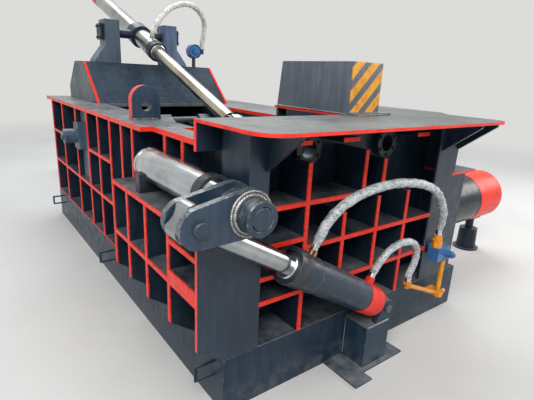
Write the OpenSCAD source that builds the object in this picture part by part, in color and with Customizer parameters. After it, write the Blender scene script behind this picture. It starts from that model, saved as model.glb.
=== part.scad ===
// Hydraulic scrap baler: ribbed press box on a skid, rear-hinged lid pulled by a cylinder on a tower,
// main ram along Y, side ram along X, and a turn-out bucket swung by a crank and cylinder at the front.
// Millimetres, +Z up, +Y from the front table towards the rear, origin at the middle of the skid's
// underside. Places are written from the skid's front left corner, and from_corner() moves them.

/* [Skid] */
// Width of the skid along X
skid_w = 2000; // [1950:10:2200]
// Length of the skid along Y
skid_l = 3550; // [3500:10:3900]
// Height of the skid
skid_h = 300; // [260:5:340]
// Thickness of the skid's plates
skid_plate = 20; // [12:1:30]

/* [Press box] */
// Height of the underside of the side top plates
deck_z = 1250; // [1230:5:1300]
// Thickness of the side top plates
top_t = 30; // [20:1:40]
// Thickness of the chamber walls
wall_t = 40; // [30:1:50]
// Thickness of the floor wear plate
floor_t = 30; // [20:1:30]
// Thickness of the rib plates
rib_t = 24; // [16:1:32]
// Width of the charge chamber
chamber_w = 1060; // [1040:5:1100]
// Depth of the ribs on the left side
left_rib_d = 260; // [240:5:280]
// Depth of the ribs on the front
front_rib_d = 220; // [180:5:230]
// Length of the top plates past the skid's rear
rear_lip = 240; // [150:10:260]

/* [Front table] */
// Height of the table's underside
table_z = 1385; // [1375:5:1420]
// Thickness of the table plate
table_t = 16; // [12:1:20]
// Reach of the table in front of the skid
table_front = 262; // [240:2:300]
// Radius of the table's front corners
table_r = 130; // [100:10:160]
// Height of the striped box
box_h = 300; // [240:10:340]
// Width of the striped box
box_w = 262; // [220:2:300]

/* [Lid] */
// Thickness of the lid's pressing plate
lid_plate = 40; // [30:1:50]
// Height of the lid's stiffening ribs
lid_rib_h = 60; // [40:5:60]
// Radius of the lid's hinge pin
hinge_r = 35; // [28:1:40]

/* [Cylinders] */
// Radius of the lid and turn-out barrels
barrel_r = 88; // [82:1:88]
// Radius of the turn-out rod
rod_r = 48; // [42:1:50]
// Radius of the lid rod
lid_rod_r = 55; // [48:1:58]
// Radius of the side cylinder's barrel
side_r = 225; // [200:5:230]
// Length of the side cylinder's barrel without its cap
side_l = 910; // [860:10:1000]
// Radius of the main cylinder's barrel
main_r = 190; // [170:5:210]
// Length of the main cylinder's barrel without its cap
main_l = 2080; // [2050:10:2300]
// Radial running clearance of rods, pins and journals
fit = 0.05; // [0.02:0.01:0.08]

/* [Turn-out] */
// Radius of the turn-out tube
tube_r = 90; // [86:1:94]
// Length of the bucket along Y
bucket_l = 555; // [500:5:555]
// Reach of the bucket's floor along X
bucket_reach = 430; // [380:5:440]
// Radius of the crank pin
crank_pin_r = 30; // [26:1:32]

/* [Hidden] */

steel_grey = "#3a434c";
dark_grey = "#2b333b";
edge_red = "#d8301c";
bare_steel = "#9aa0a3";

// Places measured from the skid's front left corner.
box_z0 = skid_h;                              // top of the skid
floor_z = box_z0 + floor_t;                   // chamber floor
wall_x0 = left_rib_d;                         // outer face of the left chamber wall
ch_x0 = wall_x0 + wall_t;                     // chamber's left face
ch_x1 = ch_x0 + chamber_w;                    // chamber's right face
ch_y0 = front_rib_d + wall_t;                 // chamber's front face
rear_rib_d = 150;                             // depth of the ribs behind the rear wall
rear_y1 = skid_l - rear_rib_d;                // outer face of the rear wall
rear_y0 = rear_y1 - wall_t;                   // inner face of the rear wall
gap = 5;                                      // working gap beside moving plates
ledge_z = 930;                                // underside of the ledge
ledge_t = 20;
bulge = 140;                                  // overhang of the lower left frame
bay_y0 = 305;                                 // front end of the turn-out bucket
bay_y1 = bay_y0 + bucket_l;                   // rear end of the turn-out bucket
bay_end = 1120;                               // rear end of the lower left frame
bay_wall_x = 100;                             // outer face of the wall behind the lower left frame
bay_wall_t = 24;
post_t = 20;                                  // thickness of the front post plates
post_w = 190;                                 // left post's right edge
right_post_x = skid_w - 440;
right_post_w = 220;
right_ledge_z = 1020;                         // underside of the ledge at the right post
cover_x = 1000;                               // left edge of the fixed cover beside the bucket
cover_y = 1000;                               // rear edge of the fixed cover

// Lid hinge and lid cylinder, in the plane across X.
hinge_y = 2600;
hinge_z = 1120;
knuckle_r = hinge_r + 25;
lid_y0 = cover_y + 2 * gap;
lid_z0 = 1000;
lid_top = lid_z0 + lid_plate + lid_rib_h;
lid_pin_y = 1300;
lid_pin_z = 1240;
lid_pin_r = 28;
trunnion_y = 3210;
trunnion_z = 1948;
trunnion_r = 45;
cyl_x = ch_x0 + chamber_w / 2 + 20;
lid_dy = trunnion_y - lid_pin_y;
lid_dz = trunnion_z - lid_pin_z;
lid_len = sqrt(lid_dy * lid_dy + lid_dz * lid_dz);
lid_slope = atan2(lid_dz, lid_dy);
lid_gland_at = 520;                           // trunnion to gland face
lid_tail = 1290;                              // trunnion to the end of the barrel tube
gland_l = 90;
cap_l = 190;
barrel_wall = 22;
lid_play_lat = 52;                            // half width of the slot in the lid rod's eye
lid_play_ax = 60;                             // half length of that slot
lid_play_mid = -27;                            // its middle, along the rod

// Turn-out shaft, crank and cylinder, in the plane across Y.
shaft_z = 1086;
crank_dx = -219;
crank_dz = -25;
crank_d = sqrt(crank_dx * crank_dx + crank_dz * crank_dz);
crank_turn = atan2(crank_dz, crank_dx);
crank_hub_r = 100;
crank_end_r = 80;
crank_t = 34;
eye_gap = 98;
turn_y = -96;                                 // plane of the turn-out cylinder
foot_x = 1000;
foot_z = 343;
turn_dx = foot_x - crank_dx;
turn_dz = foot_z - (shaft_z + crank_dz);
turn_len = sqrt(turn_dx * turn_dx + turn_dz * turn_dz);
turn_slope = atan2(-turn_dz, turn_dx);
turn_gland_at = 568;                          // crank pin to gland face
turn_play_lat = 64;
turn_play_ax = 43;
turn_play_mid = -8;
foot_r = 58;
foot_pin_r = 25;
hub_r = 70;
hub_front = -250;
journal_r = tube_r - 10;
bearing_l = 60;
near_bearing_y = 92;
far_bearing_y = 735;
bearing_or = 96;
tube_end_y = 846;

// Side ram and main ram.
side_y = 530;
side_z = 570;
ram_roof_z = 880;                             // underside of the side ram's roof
side_rod_r = 110;
side_face = ch_x1 + 20;                       // platen face at rest
side_platen_t = 120;
side_cap_l = 380;
main_x = cyl_x;
main_z = 650;
main_rod_r = 90;
main_face = hinge_y + 70;                     // platen face at rest
main_platen_t = 140;
main_cap_l = 160;
platen_clear = 5;

// Tower for the lid cylinder.
tower_x0 = 236;
tower_x1 = 1640;
tower_t = 24;
tower_foot_y = 2690;
tower_top_y = 3100;
tower_top_z = 1655;
tower_back_y = skid_l + rear_lip - 60;
tower_plate = 20;
upright_w = 145;
upright_d = 200;
upright_h = 410;
upright_gap = 475;                            // clear width between the uprights

// Fittings at the right front.
valve_at = [right_post_x + 60, -64, 530];
elbow_at = [right_post_x + 113, -80, 205];
pipe_top = [1250, -106, 427.6];
lid_valve_at = [cyl_x + upright_gap / 2 + upright_w + 239.5, trunnion_y - 30, trunnion_z - 121];
// Hose and pipe routes, from the skid's front left corner.
hose_high_route = [[431.9, -96, 810.4], [447.6, -96, 837.1], [462, -103, 880], [480, -114, 930],
    [518, -128, 985], [585, -134, 1030], [680, -138, 1064], [830, -140, 1086], [995, -140, 1086],
    [1150, -138, 1066], [1290, -132, 1026], [1400, -122, 970], [1480, -110, 900],
    [1540, -98, 820], [1576, -80, 750], [1590, -64, 695], [1590, -64, 649.3]];
hose_low_route = [[899, -96, 542.1], [914.2, -96, 567.9], [934, -104, 610], [966, -112, 655],
    [1015, -118, 692], [1085, -122, 712], [1160, -122, 710], [1225, -120, 688],
    [1268, -118, 645], [1284, -116, 595], [1280, -114, 548], [1262, -110, 505],
    [1250, -106, 468], [1250, -106, 428]];
lid_hose_route = [[850, 2856.2, 1929.9], [850, 2844.4, 1961.8], [872, 2850, 2005], [915, 2868, 2060],
    [970, 2895, 2120], [1040, 2925, 2180], [1110, 2953, 2225], [1200, 2986, 2266],
    [1302, 3018, 2290], [1401, 3050, 2284], [1491, 3083, 2247], [1556, 3115, 2187],
    [1592, 3148, 2109], [1598, 3172, 2020], [1578, 3180, 1930], [1578, 3180, 1882.3]];

module from_corner() translate([-skid_w / 2, -skid_l / 2, 0]) children();
module block(x0, x1, y0, y1, z0, z1) translate([x0, y0, z0]) cube([x1 - x0, y1 - y0, z1 - z0]);
// A plate drawn in X and Z, standing between two places along Y.
module plate_xz(y0, y1) translate([0, y1, 0]) rotate([90, 0, 0]) linear_extrude(y1 - y0) children();
// A plate drawn in Y and Z, standing between two places along X.
module plate_yz(x0, x1) translate([x0, 0, 0]) rotate([90, 0, 90]) linear_extrude(x1 - x0) children();
module rod_x(x0, x1, y, z, r, f = 96) translate([x0, y, z]) rotate([0, 90, 0])
    cylinder(r = r, h = x1 - x0, $fn = f);
module rod_y(y0, y1, x, z, r, f = 96) translate([x, y1, z]) rotate([90, 0, 0])
    cylinder(r = r, h = y1 - y0, $fn = f);
// Outline of a link: two rounds of radii r1 and r2, d apart, with straight flanks just inside them.
module link(d, r1, r2) {
    a = acos((r1 - r2) / d);
    q1 = 0.998 * r1;
    q2 = 0.998 * r2;
    circle(r = r1, $fn = 96);
    translate([d, 0]) circle(r = r2, $fn = 96);
    polygon([[q1 * cos(a), q1 * sin(a)], [d + q2 * cos(a), q2 * sin(a)],
        [d + q2 * cos(a), -q2 * sin(a)], [q1 * cos(a), -q1 * sin(a)]]);
}
// Frames of the two swinging cylinders: +X runs from the rod's pin along the rod, Z is up.
module lid_axis() translate([cyl_x, lid_pin_y, lid_pin_z]) rotate([lid_slope, 0, 0])
    rotate([0, 0, 90]) children();
module turn_axis() translate([crank_dx, turn_y, shaft_z + crank_dz]) rotate([0, turn_slope, 0])
    children();
module along_x(x0, x1, r, f = 96) rod_x(x0, x1, 0, 0, r, f);

// Skid: sills, stringers, cross members, deck and three sole plates.
module skid_frame() color(steel_grey) from_corner() {
    cells = 4;
    rows = 4;
    pitch_x = (skid_w - skid_plate) / cells;
    pitch_y = (skid_l - skid_plate) / rows;
    for (i = [0:cells]) translate([i * pitch_x, 0, 0]) cube([skid_plate, skid_l, skid_h]);
    for (j = [0:rows]) translate([0, j * pitch_y, 0]) cube([skid_w, skid_plate, skid_h]);
    translate([0, 0, skid_h - skid_plate]) cube([skid_w, skid_l, skid_plate]);
    sole_l = 300;
    for (y = [0, (skid_l - sole_l) / 2, skid_l - sole_l])
        translate([0, y, 0]) cube([skid_w, sole_l, skid_plate]);
}

module chamber_floor() color(bare_steel) from_corner() {
    block(bay_wall_x + bay_wall_t, wall_x0, ch_y0, bay_y1 + gap, box_z0, floor_z);
    block(wall_x0, right_x1, ch_y0, rear_y0, box_z0, floor_z);
}

module front_posts() color(steel_grey) from_corner() {
    plate_xz(0, post_t) polygon([[0, box_z0], [post_w, box_z0], [post_w, 940], [218, 1000],
        [218, table_z], [110, table_z], [110, ledge_z], [-bulge, ledge_z], [-bulge, 400]]);
    plate_xz(0, post_t) polygon([[right_post_x, box_z0], [right_post_x + 345, box_z0],
        [right_post_x + 358, right_ledge_z], [right_post_x + 207, right_ledge_z],
        [right_post_x + right_post_w, table_z], [right_post_x, table_z]]);
    // ledge beside the right post
    block(right_post_x + 205, skid_w + 50, 0, front_rib_d, right_ledge_z, right_ledge_z + 16);
    // returns running back to the front wall
    block(110, 110 + post_t, post_t, front_rib_d, ledge_z + ledge_t, table_z);
    block(right_post_x + right_post_w - post_t, right_post_x + right_post_w, post_t, front_rib_d,
        box_z0, table_z);
}

// Front ribs: a grid of five cells by four, with the lengths that are really welded in.
front_cell = (right_post_x - post_w) / 5;
front_row = (deck_z - skid_h) / 4;
function fx(i) = post_w + i * front_cell;
function fz(j) = skid_h + j * front_row;
module front_ribs() color(dark_grey) from_corner() {
    y0 = 0;
    h = rib_t / 2;
    for (v = [[1, 0, 3.85], [2, 1, 2.62], [3, 1, 2.85], [4, 0, 2.85]])
        block(fx(v[0]) - h, fx(v[0]) + h, y0, front_rib_d, fz(v[1]), fz(v[2]));
    for (v = [[2.47, 3, 4], [3.06, 3, 3.75]])
        block(fx(v[0]) - h, fx(v[0]) + h, y0, front_rib_d, fz(v[1]), fz(v[2]));
    for (r = [[3, 0.1, 3.06], [2, 1, 5], [1, 0, 5], [1.55, 0, 1], [2.22, 0, 1]])
        block(max(fx(r[1]), r[0] > 2.5 ? 218 : post_w), fx(r[2]), y0, front_rib_d,
            fz(r[0]) - h, fz(r[0]) + h);
    // short bars beside the guide flanges
    for (x = [[218, guide_x[0] - 108], [guide_x[0] + 108, guide_x[0] + 232],
        [guide_x[1] + 105, guide_x[1] + 229]])
        block(x[0], x[1], y0 + 40, front_rib_d, 1290, 1290 + rib_t);
}

guide_x = [608, 1251];
guide_z = 1238;
guide_bore = 50;
module front_wall() color(dark_grey) from_corner() difference() {
    block(bay_wall_x + bay_wall_t, right_x1, front_rib_d, ch_y0, box_z0, table_z);
    for (x = guide_x) rod_y(front_rib_d - 1, ch_y0 + 1, x, guide_z, guide_bore + 10);
}

// Two round guides with six bolts each, let into the front wall.
module guide_flanges() color(dark_grey) from_corner() for (x = guide_x) {
    difference() {
        union() {
            rod_y(front_rib_d - 45, front_rib_d, x, guide_z, 87);
            rod_y(front_rib_d - 1, ch_y0, x, guide_z, guide_bore + 9.7);
        }
        rod_y(front_rib_d - 60, ch_y0 + 10, x, guide_z, guide_bore);
    }
    for (i = [0:5]) translate([x, 0, guide_z]) rotate([0, i * 60 + 30, 0])
        rod_y(front_rib_d - 57, front_rib_d - 44, 72, 0, 9, 6);
}

module left_wall() color(dark_grey) from_corner() difference() {
    block(wall_x0, ch_x0, bay_y1 + gap, rear_y0, box_z0 + floor_t, deck_z);
    rod_x(wall_x0 - 1, ch_x0 + 1, hinge_y, hinge_z, hinge_r + fit);
}

// Right wall of the charge chamber; the side ram passes in front of it.
module right_wall() color(dark_grey) from_corner() difference() {
    block(ch_x1, ch_x1 + wall_t, bay_y1 + 2 * gap, rear_y0, floor_z, deck_z);
    rod_x(ch_x1 - 1, ch_x1 + wall_t + 1, hinge_y, hinge_z, hinge_r + fit);
}

module rear_wall() color(dark_grey) from_corner() {
    difference() {
        block(wall_x0, ch_x1 + wall_t, rear_y0, rear_y1, box_z0, deck_z);
        rod_y(rear_y0 - 1, rear_y1 + 1, main_x, main_z, main_rod_r + fit);
    }
    for (x = [wall_x0, ch_x1 + wall_t - rib_t])
        block(x, x + rib_t, rear_y1, skid_l, box_z0, deck_z);
    for (z = [box_z0 + 40, deck_z - 200])
        block(wall_x0 + rib_t, ch_x1 + wall_t - rib_t, rear_y1, skid_l, z, z + rib_t);
}

// Rib stations of the left side, from the ledge to the rear.
left_run = skid_l - rib_t - bay_end;
left_stations = concat([bay_end], [for (k = [0.0865, 0.19, 0.311, 0.44, 0.598, 0.81])
    bay_end + k * left_run], [skid_l - rib_t]);
low_rib_z = 623;
mid_rib_z = 938;
module left_upper_ribs() color(dark_grey) from_corner() {
    for (y = left_stations) block(0, wall_x0, y, y + rib_t, box_z0, deck_z);
    block(0, wall_x0, bay_end + rib_t, skid_l - rib_t, low_rib_z, low_rib_z + rib_t);
    block(0, wall_x0, left_stations[2], left_stations[4] + rib_t, mid_rib_z, mid_rib_z + rib_t);
    block(0, wall_x0, left_stations[6] - 168, skid_l - rib_t, mid_rib_z, mid_rib_z + rib_t);
    // rib above the ledge, set back behind the turn-out tube
    block(bay_wall_x, wall_x0, bay_y1 + gap, bay_y1 + gap + rib_t, ledge_z + ledge_t, deck_z);
}

lower_stations = [for (k = [0.257, 0.512, 0.757]) k * bay_end];
module left_lower_frame() color(dark_grey) from_corner() {
    // ledge
    block(-bulge, bay_wall_x + bay_wall_t, post_t, bay_end, ledge_z, ledge_z + ledge_t);
    block(bay_wall_x, wall_x0, bay_y1 + gap, bay_end, ledge_z, ledge_z + ledge_t);
    block(-bulge, 110, 0, post_t, ledge_z, ledge_z + ledge_t);
    // wall behind the ribs
    block(bay_wall_x, bay_wall_x + bay_wall_t, post_t, bay_end, box_z0, ledge_z + 1);
    for (y = lower_stations) plate_xz(y, y + rib_t)
        polygon([[0, box_z0], [bay_wall_x + 1, box_z0], [bay_wall_x + 1, ledge_z + 1],
            [-bulge, ledge_z + 1], [-bulge, 400]]);
    plate_xz(bay_end - rib_t, bay_end)
        polygon([[0, box_z0], [wall_x0, box_z0], [wall_x0, ledge_z + 1],
            [-bulge, ledge_z + 1], [-bulge, 400]]);
    block(-bulge, bay_wall_x + 1, post_t, bay_end, 613, 613 + rib_t);
    block(-bulge, bay_wall_x + 1, post_t, lower_stations[0], 620, 690);
    block(-bulge, bay_wall_x + 1, post_t, lower_stations[0], 826, 826 + rib_t);
}

// Right side: ribs from the chamber wall out to the skid's edge, open where the side ram runs.
right_x1 = skid_w - 10;
ram_y0 = 290;
ram_y1 = 860;
module right_ribs() color(dark_grey) from_corner() {
    x0 = ch_x1 + wall_t;
    count = 6;
    pitch = (skid_l - rib_t - ram_y1 - 2 * gap) / count;
    for (i = [0:count]) let (y = ram_y1 + 2 * gap + i * pitch)
        block(x0, right_x1, y, y + rib_t, y > rear_y0 ? box_z0 : floor_z, deck_z);
    for (z = [613, 926]) block(x0, right_x1, ram_y1 + 2 * gap, skid_l, z, z + rib_t);
    // outer wall in front of the ribs, which carries the side cylinder
    difference() {
        block(right_x1 - wall_t, right_x1, ch_y0, ram_y1 + 2 * gap, floor_z, deck_z);
        rod_x(right_x1 - wall_t - 1, right_x1 + 1, side_y, side_z, side_rod_r + fit);
    }
    // roof of the side ram's guide
    block(cover_x, right_x1 - wall_t, ch_y0, ram_y1 + gap, ram_roof_z, ram_roof_z + wall_t);
}

// Box beam between the turn-out bay and the lid.
module cross_beam() color(dark_grey) from_corner() difference() {
    block(ch_x0, ch_x1, bay_y1 + 4 * gap, cover_y, lid_z0, deck_z);
    block(ch_x0 - 1, ch_x1 + 1, bay_y1 + 4 * gap + 20, cover_y - 20, lid_z0 + 20, deck_z - 20);
}

strip_inset = 75;                             // from the skid's edge to the bucket's strip
plate_step_y = 980;                           // where the left top plate steps out
module left_top_plate() color(steel_grey) from_corner() {
    block(0, ch_x0, plate_step_y, skid_l + rear_lip, deck_z, deck_z + top_t);
    block(strip_inset, ch_x0, bay_y1 + gap, plate_step_y + 1, deck_z, deck_z + top_t);
}

module right_top_plate() color(steel_grey) from_corner()
    block(ch_x1, skid_w, cover_y + gap, skid_l + rear_lip, deck_z, deck_z + top_t);

module rear_deck() color(steel_grey) from_corner()
    block(ch_x0, ch_x1, tower_foot_y, skid_l + rear_lip, deck_z, deck_z + top_t);

// Table: one plate with rounded front corners and a tongue back beside the bucket.
table_x0 = 0;
table_x1 = skid_w - 140;
table_back = 300;
module table() color(bare_steel) from_corner() translate([0, 0, table_z]) linear_extrude(table_t) {
    r = table_r;
    translate([table_x0 + r, -table_front + r]) circle(r = r, $fn = 96);
    translate([table_x1 - r, -table_front + r]) circle(r = r, $fn = 96);
    polygon([[table_x0 + r, -table_front], [table_x1 - r, -table_front],
        [table_x1, -table_front + r], [table_x1, table_back - 140], [skid_w, table_back],
        [skid_w, cover_y], [cover_x, cover_y], [cover_x, table_back], [table_x0, table_back],
        [table_x0, -table_front + r]]);
}

module table_gussets() color(steel_grey) from_corner() {
    // triangular gussets under the table beside each post
    for (x = [post_w + 4, right_post_x + 20, right_post_x + right_post_w - post_t])
        plate_yz(x, x + post_t) polygon([[0, table_z - 190], [0, table_z],
            [-table_front + 40, table_z], [-table_front + 40, table_z - 20]]);
    // skirt across the table's left rear end, stepping down to the bucket's strip
    block(table_x0, bucket_x + bucket_t, table_back - post_t, table_back, deck_z, table_z);
    // upstands under the tongue
    block(cover_x, cover_x + post_t, ch_y0, bay_y1 + gap, ram_roof_z + wall_t, table_z);
    block(cover_x + post_t, skid_w - 40, cover_y - post_t, cover_y, deck_z, table_z);
    block(right_x1 - wall_t, right_x1, ch_y0, cover_y - post_t, deck_z, table_z);
}

// Striped box on the table with its small base plate.
box_y0 = 285;
box_y1 = 970;
module marker_box() color("#4a5159") from_corner() translate([0, 0, table_z + table_t]) {
    difference() {
        plate_yz(cover_x, cover_x + box_w)
            polygon([[box_y0, 0], [box_y0, box_h], [box_y1 - 40, box_h], [box_y1, 0]]);
        plate_yz(cover_x + 8, cover_x + box_w - 8)
            polygon([[box_y0 + 8, -1], [box_y0 + 8, box_h - 8], [box_y1 - 50, box_h - 8],
                [box_y1 - 10, -1]]);
    }
    block(cover_x - 30, cover_x + box_w + 30, box_y0 - 75, box_y0, 0, 14);
}

// Eye plate welded on the left top plate, its bore along Y.
lug_x = 178;
lug_y = 1330;
lug_t = 60;
lug_r = 98;
lug_bore = 36;
lug_round_z = deck_z + top_t + 125;
lug_bore_z = deck_z + top_t + 92;
module lifting_lug() color(steel_grey) from_corner() difference() {
    union() {
        rod_y(lug_y, lug_y + lug_t, lug_x, lug_round_z, lug_r);
        block(lug_x - lug_r, lug_x + lug_r, lug_y, lug_y + lug_t, deck_z + top_t, lug_round_z);
    }
    rod_y(lug_y - 1, lug_y + lug_t + 1, lug_x, lug_bore_z, lug_bore);
}

// Channel in the left ribs with a bolted round boss.
boss_y = left_stations[4] + 0.66 * (left_stations[5] - left_stations[4]);
boss_z = 1030;
module side_boss() color(steel_grey) from_corner() {
    y0 = left_stations[4] + rib_t + 30;
    y1 = left_stations[5] - 20;
    block(40, 60, y0, y1, low_rib_z + rib_t, deck_z);
    for (y = [y0, y1 - 20]) block(60, 120, y, y + 20, low_rib_z + rib_t, deck_z);
    block(-30, 40, boss_y - 75, boss_y + 75, boss_z - 110, boss_z + 110);
    rod_x(-130, -30, boss_y, boss_z, 62);
    rod_x(-148, -130, boss_y, boss_z, 30, 6);
}

// Bent bar loops welded on the skid's left side.
loop_r = 8;
loop_ys = [115, 0.479 * skid_l, skid_l - 110];
module lifting_loops() color(steel_grey) from_corner() for (y = loop_ys) {
    reach = 90;
    low = 150;
    high = 228;
    for (z = [low, high]) rod_x(-reach, 0, y, z, loop_r, 32);
    translate([-reach, y, low]) cylinder(r = loop_r, h = high - low, $fn = 32);
    for (z = [low, high]) translate([-reach, y, z]) sphere(r = loop_r, $fn = 32);
}

module tower() color(dark_grey) from_corner() {
    z0 = deck_z + top_t;
    side = [[tower_foot_y, z0], [tower_top_y, tower_top_z], [tower_top_y + 340, tower_top_z],
        [tower_back_y, z0 + 120], [tower_back_y, z0]];
    for (x = [tower_x0, tower_x1 - tower_t]) plate_yz(x, x + tower_t) polygon(side);
    // inclined front plate, top plate and back plate between the sides
    inset = 10;
    top_l = 330;
    y0 = tower_foot_y + inset;
    y1 = tower_top_y + inset;
    plate_yz(tower_x0 + tower_t, tower_x1 - tower_t) polygon([[y0, z0], [y1, tower_top_z],
        [y1 + top_l, tower_top_z], [y1 + top_l, z0], [y1 + top_l - tower_plate, z0],
        [y1 + top_l - tower_plate, tower_top_z - tower_plate],
        [y1 + tower_plate / 2, tower_top_z - tower_plate], [y0 + 2 * inset + 8, z0]]);
}

// One upright of the trunnion stand, with a flared foot on the side away from the cylinder.
module upright(outward) {
    x0 = cyl_x + outward * upright_gap / 2;
    y0 = trunnion_y - upright_d / 2;
    foot = 110;
    w = outward * upright_w;
    f = outward * foot;
    difference() {
        translate([x0, 0, 0]) plate_xz(y0, y0 + upright_d)
            polygon([[0, tower_top_z], [w + f, tower_top_z], [w + f, tower_top_z + 20],
                [w, tower_top_z + 170], [w, tower_top_z + upright_h],
                [0, tower_top_z + upright_h]]);
        rod_x(min(x0, x0 + w) - 1, max(x0, x0 + w) + 1, trunnion_y, trunnion_z, trunnion_r + fit);
    }
}
module upright_left() color(steel_grey) from_corner() upright(-1);
module upright_right() color("#5b6d86") from_corner() upright(1);

// Covers bolted over the trunnion ends.
module trunnion_keepers() color(dark_grey) from_corner() for (s = [-1, 1]) {
    x0 = cyl_x + s * (upright_gap / 2 + upright_w);
    x1 = x0 + s * 36;
    block(min(x0, x1), max(x0, x1), trunnion_y - 65, trunnion_y + 65, trunnion_z - 75,
        trunnion_z + 75);
    for (a = [-1, 1], b = [-1, 1]) {
        x2 = x1 + s * 12;
        rod_x(min(x1, x2), max(x1, x2), trunnion_y + a * 45, trunnion_z + b * 52, 11, 6);
    }
}

// Lid: pressing plate with ribs, three hinge knuckles and the rod's clevis.
lid_x0 = ch_x0 + gap;
lid_x1 = ch_x1 - gap;
ear_t = 30;
ear_gap = 64;
ear_r = 62;
module lid() color(steel_grey) from_corner() difference() {
    union() {
        block(lid_x0, lid_x1, lid_y0, hinge_y - 20, lid_z0, lid_z0 + lid_plate);
        for (x = [lid_x0, lid_x0 + 0.22 * chamber_w, lid_x1 - 0.22 * chamber_w - rib_t,
            lid_x1 - rib_t])
            block(x, x + rib_t, lid_y0, hinge_y - 30, lid_z0, lid_top);
        for (y = [lid_y0, 1560, 2050]) block(lid_x0, lid_x1, y, y + rib_t, lid_z0, lid_top);
        for (x = [lid_x0 + 20, cyl_x - 60, lid_x1 - 140])
            plate_yz(x, x + 120) {
                translate([hinge_y, hinge_z]) circle(r = knuckle_r, $fn = 96);
                polygon([[hinge_y - 200, lid_top - 10], [hinge_y - 200, lid_z0 + 10],
                    [hinge_y - 40, lid_z0 + 10], [hinge_y + 15, hinge_z - knuckle_r + 4],
                    [hinge_y, hinge_z + knuckle_r - 1]]);
            }
        for (s = [-1, 1]) {
            x0 = cyl_x + s * (ear_gap + ear_t) / 2 - ear_t / 2;
            plate_yz(x0, x0 + ear_t) {
                translate([lid_pin_y, lid_pin_z]) circle(r = ear_r, $fn = 96);
                polygon([[lid_pin_y - ear_r, lid_pin_z], [lid_pin_y + ear_r, lid_pin_z],
                    [lid_pin_y + 180, lid_z0 + 10], [lid_pin_y - 100, lid_z0 + 10]]);
            }
        }
    }
    rod_x(lid_x0 - 1, lid_x1 + 1, hinge_y, hinge_z, hinge_r + fit);
    rod_x(cyl_x - 100, cyl_x + 100, lid_pin_y, lid_pin_z, lid_pin_r + fit);
}
module lid_clevis_pin() color(bare_steel) from_corner() {
    half = ear_gap / 2 + ear_t + 12;
    rod_x(cyl_x - half, cyl_x + half, lid_pin_y, lid_pin_z, lid_pin_r);
    for (s = [-1, 1]) rod_x(cyl_x + (s < 0 ? -half - 10 : half - 11), cyl_x + (s < 0 ? 11 - half
        : half + 10), lid_pin_y, lid_pin_z, lid_pin_r + 9);
}
module lid_hinge_pin() color(bare_steel) from_corner()
    rod_x(wall_x0 + 2, ch_x1 + wall_t - 2, hinge_y, hinge_z, hinge_r);

// Lid cylinder, drawn along its own axis from the clevis pin.
lid_g0 = lid_len - lid_gland_at;
lid_b1 = lid_len + lid_tail;
module lid_gland() color("#16191c") from_corner() lid_axis() difference() {
    union() {
        along_x(lid_g0, lid_g0 + gland_l, barrel_r + 4);
        along_x(lid_g0 + gland_l - 1, lid_g0 + gland_l + 50, barrel_r - barrel_wall - 0.3);
    }
    along_x(lid_g0 - 1, lid_g0 + gland_l + 51, lid_rod_r + fit);
}
module lid_barrel() color(dark_grey) from_corner() lid_axis() difference() {
    union() {
        along_x(lid_g0 + gland_l, lid_b1, barrel_r);
        translate([lid_g0 + gland_l + 92, 0, barrel_r - 8]) cylinder(r = 24, h = 25.7, $fn = 48);
    }
    along_x(lid_g0 + gland_l - 1, lid_b1 + 1, barrel_r - barrel_wall);
}
module lid_cap() color(edge_red) from_corner() lid_axis() {
    along_x(lid_b1, lid_b1 + cap_l, barrel_r + 3);
    along_x(lid_b1 + cap_l - 1, lid_b1 + cap_l + 20, barrel_r - 20);
}
module lid_trunnion() color(dark_grey) from_corner() difference() {
    union() {
        lid_axis() along_x(lid_len - 70, lid_len + 70, barrel_r + 26);
        half = upright_gap / 2 + upright_w - 2;
        rod_x(cyl_x - half, cyl_x + half, trunnion_y, trunnion_z, trunnion_r);
    }
    lid_axis() along_x(lid_len - 71, lid_len + 71, barrel_r + 0.3);
}
// Rectangle of half sizes hx and hy with corners of radius r.
module rounded(hx, hy, r) {
    square([2 * hx, 2 * (hy - r)], center = true);
    square([2 * (hx - r), 2 * hy], center = true);
    for (i = [-1, 1], j = [-1, 1]) translate([i * (hx - r), j * (hy - r)]) circle(r = r, $fn = 96);
}
// Rod eye with a slot: the open pivot's play, wide across the rod. The pin has radius pin.
module slotted_eye(lat, ax, mid, t, wall, pin) rotate([90, 0, 0]) translate([mid, 0, -t / 2])
    linear_extrude(t) difference() {
        rounded(ax + wall, lat + wall, pin - 2 + wall);
        rounded(ax, lat, pin - 2);
    }
module lid_rod() color("#b9bdbf") from_corner() lid_axis() {
    slotted_eye(lid_play_lat, lid_play_ax, lid_play_mid, ear_gap - 4, 16, lid_pin_r);
    // neck between the clevis ears
    along_x(lid_play_mid + lid_play_ax + 15, ear_r + 9, (ear_gap - 4) / 2);
    along_x(ear_r + 8, lid_g0 + gland_l + 130, lid_rod_r);
    along_x(lid_g0 + gland_l + 60, lid_g0 + gland_l + 130, barrel_r - barrel_wall - 0.5);
}

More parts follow.
